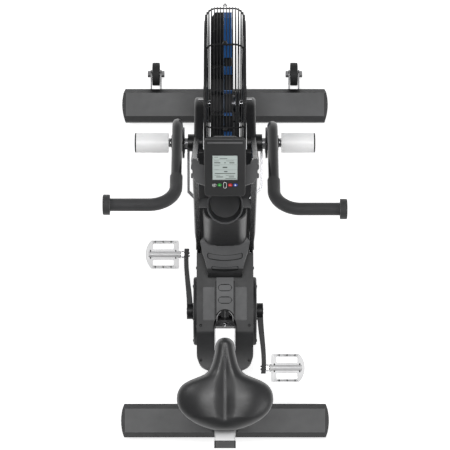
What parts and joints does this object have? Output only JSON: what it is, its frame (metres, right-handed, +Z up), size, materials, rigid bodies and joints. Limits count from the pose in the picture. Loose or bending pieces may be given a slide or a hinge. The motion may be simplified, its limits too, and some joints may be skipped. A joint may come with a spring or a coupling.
{
  "type": "air bike",
  "caption": "Air bike with a caged fan, swinging handle arms, belt drive, foot pegs, console and an adjustable saddle.",
  "frame": {"origin": "floor level, at the middle of the bike's overall length and width", "axes": "+X to the rider's right, +Y forward towards the fan, +Z up"},
  "size_m": [0.654, 1.3116, 1.3678],
  "materials": {
    "powder_coat": "satin",
    "black_plastic": "matte",
    "shroud_plastic": "satin",
    "bright_steel": "brushed",
    "chrome": "polished",
    "cast_aluminium": "satin",
    "pulley_aluminium": "satin",
    "wire": "satin",
    "vane_plastic": "satin",
    "blue_plastic": "satin",
    "foam": "matte",
    "vinyl": "satin",
    "belt_rubber": "matte",
    "wheel_rubber": "matte",
    "lcd": "gloss",
    "key_grey": "satin",
    "key_green": "satin",
    "key_red": "satin",
    "key_blue": "satin"
  },
  "bodies": {
    "frame": {"stabilizers": "powder_coat", "end_caps": "black_plastic", "feet": "belt_rubber", "main_beam": "powder_coat", "center_post": "powder_coat", "crank_housing": "powder_coat", "seat_tube": "powder_coat", "fork_legs": "powder_coat", "pivot_collars": "powder_coat", "foot_pegs": "cast_aluminium", "mast_rails": "powder_coat", "mast_legs": "powder_coat", "console_yoke": "powder_coat", "mast_cover": "black_plastic", "cup_holder": "black_plastic", "console_housing": "black_plastic", "console_back": "black_plastic", "console_screen": "lcd", "guard_right": "wire", "guard_left": "wire", "guard_fittings": "powder_coat", "fan_axle": "bright_steel", "belt": "belt_rubber", "crank_bearings": "bright_steel", "wheel_brackets": "powder_coat", "shroud_right": "shroud_plastic", "shroud_left": "shroud_plastic", "crank_covers": "shroud_plastic", "neck_cover": "shroud_plastic", "spine_cover": "shroud_plastic"},
    "crank_set": {"crank_axle": "bright_steel", "drive_pulley": "pulley_aluminium", "crank_left": "powder_coat", "crank_right": "powder_coat", "pedal_spindles": "bright_steel"},
    "left_pedal": {"pedal_left": "cast_aluminium"},
    "right_pedal": {"pedal_right": "cast_aluminium"},
    "fan": {"fan_hub": "pulley_aluminium", "fan_drum": "vane_plastic", "fan_vanes": "vane_plastic", "fan_vanes_blue": "blue_plastic"},
    "left_arm": {"arm_left": "powder_coat", "grip_left": "foam"},
    "right_arm": {"arm_right": "powder_coat", "grip_right": "foam"},
    "left_rod": {"rod_left": "bright_steel"},
    "right_rod": {"rod_right": "bright_steel"},
    "seat_mast": {"seat_post": "chrome", "seat_slider": "cast_aluminium"},
    "saddle_unit": {"seat_carriage": "pulley_aluminium", "saddle": "vinyl"},
    "knob": {"carriage_knob": "black_plastic"},
    "pin": {"height_pin": "black_plastic"},
    "left_wheel": {"wheel_left": "wheel_rubber"},
    "right_wheel": {"wheel_right": "wheel_rubber"},
    "menu_key": {"button_menu": "key_grey"},
    "start_key": {"button_start": "key_green"},
    "select_key": {"button_select": "key_grey"},
    "stop_key": {"button_stop": "key_red"},
    "display_key": {"button_display": "key_blue"}
  },
  "joints": [
    {"name": "crank_spin", "type": "hinge", "parent": "frame", "child": "crank_set", "pos_m": [0, -0.249, 0.33], "axis": [1, 0, 0], "continuous": true},
    {"name": "fan_spin", "type": "hinge", "parent": "frame", "child": "fan", "pos_m": [0, 0.362, 0.45], "axis": [1, 0, 0], "continuous": true},
    {"name": "pedal_left_spin", "type": "hinge", "parent": "crank_set", "child": "left_pedal", "pos_m": [-0.187, -0.079, 0.33], "axis": [1, 0, 0], "continuous": true},
    {"name": "pedal_right_spin", "type": "hinge", "parent": "crank_set", "child": "right_pedal", "pos_m": [0.187, -0.419, 0.33], "axis": [1, 0, 0], "continuous": true},
    {"name": "arm_left_swing", "type": "hinge", "parent": "frame", "child": "left_arm", "pos_m": [-0.133, 0.236, 0.52], "axis": [1, 0, 0], "range_deg": [-20, 20]},
    {"name": "arm_right_swing", "type": "hinge", "parent": "frame", "child": "right_arm", "pos_m": [0.133, 0.236, 0.52], "axis": [1, 0, 0], "range_deg": [-20, 20]},
    {"name": "rod_left_hinge", "type": "hinge", "parent": "left_arm", "child": "left_rod", "pos_m": [-0.109, 0.23504, 0.41], "axis": [1, 0, 0], "range_deg": [-20, 20]},
    {"name": "rod_right_hinge", "type": "hinge", "parent": "right_arm", "child": "right_rod", "pos_m": [0.109, 0.23696, 0.41], "axis": [1, 0, 0], "range_deg": [-20, 20]},
    {"name": "seat_height", "type": "slide", "parent": "frame", "child": "seat_mast", "axis": [0, -0.309, 0.9511], "range_m": [-0.05, 0.06]},
    {"name": "saddle_reach", "type": "slide", "parent": "seat_mast", "child": "saddle_unit", "axis": [0, 1, 0], "range_m": [-0.055, 0.055]},
    {"name": "carriage_knob_turn", "type": "hinge", "parent": "saddle_unit", "child": "knob", "pos_m": [0.05, -0.516, 0.803], "axis": [1, 0, 0], "range_deg": [0, 180]},
    {"name": "height_pin_pull", "type": "slide", "parent": "frame", "child": "pin", "axis": [0, 1, 0], "range_m": [0, 0.014], "stiffness_N_per_m": 500, "springref_m": -0.012},
    {"name": "wheel_left_spin", "type": "hinge", "parent": "frame", "child": "left_wheel", "pos_m": [-0.216, 0.51, 0.048], "axis": [1, 0, 0], "continuous": true},
    {"name": "wheel_right_spin", "type": "hinge", "parent": "frame", "child": "right_wheel", "pos_m": [0.216, 0.51, 0.048], "axis": [1, 0, 0], "continuous": true},
    {"name": "menu_press", "type": "slide", "parent": "frame", "child": "menu_key", "axis": [0, 0.5736, -0.8192], "range_m": [0, 0.0015], "stiffness_N_per_m": 400, "springref_m": -0.001},
    {"name": "start_press", "type": "slide", "parent": "frame", "child": "start_key", "axis": [0, 0.5736, -0.8192], "range_m": [0, 0.0015], "stiffness_N_per_m": 400, "springref_m": -0.001},
    {"name": "select_press", "type": "slide", "parent": "frame", "child": "select_key", "axis": [0, 0.5736, -0.8192], "range_m": [0, 0.0015], "stiffness_N_per_m": 400, "springref_m": -0.001},
    {"name": "stop_press", "type": "slide", "parent": "frame", "child": "stop_key", "axis": [0, 0.5736, -0.8192], "range_m": [0, 0.0015], "stiffness_N_per_m": 400, "springref_m": -0.001},
    {"name": "display_press", "type": "slide", "parent": "frame", "child": "display_key", "axis": [0, 0.5736, -0.8192], "range_m": [0, 0.0015], "stiffness_N_per_m": 400, "springref_m": -0.001}
  ],
  "couplings": [
    {"joint": "fan_spin", "follows": "crank_spin", "ratio": 4},
    {"joint": "arm_right_swing", "follows": "arm_left_swing", "ratio": -1},
    {"joint": "rod_left_hinge", "follows": "arm_left_swing", "ratio": -1},
    {"joint": "rod_right_hinge", "follows": "arm_left_swing", "ratio": 1}
  ]
}
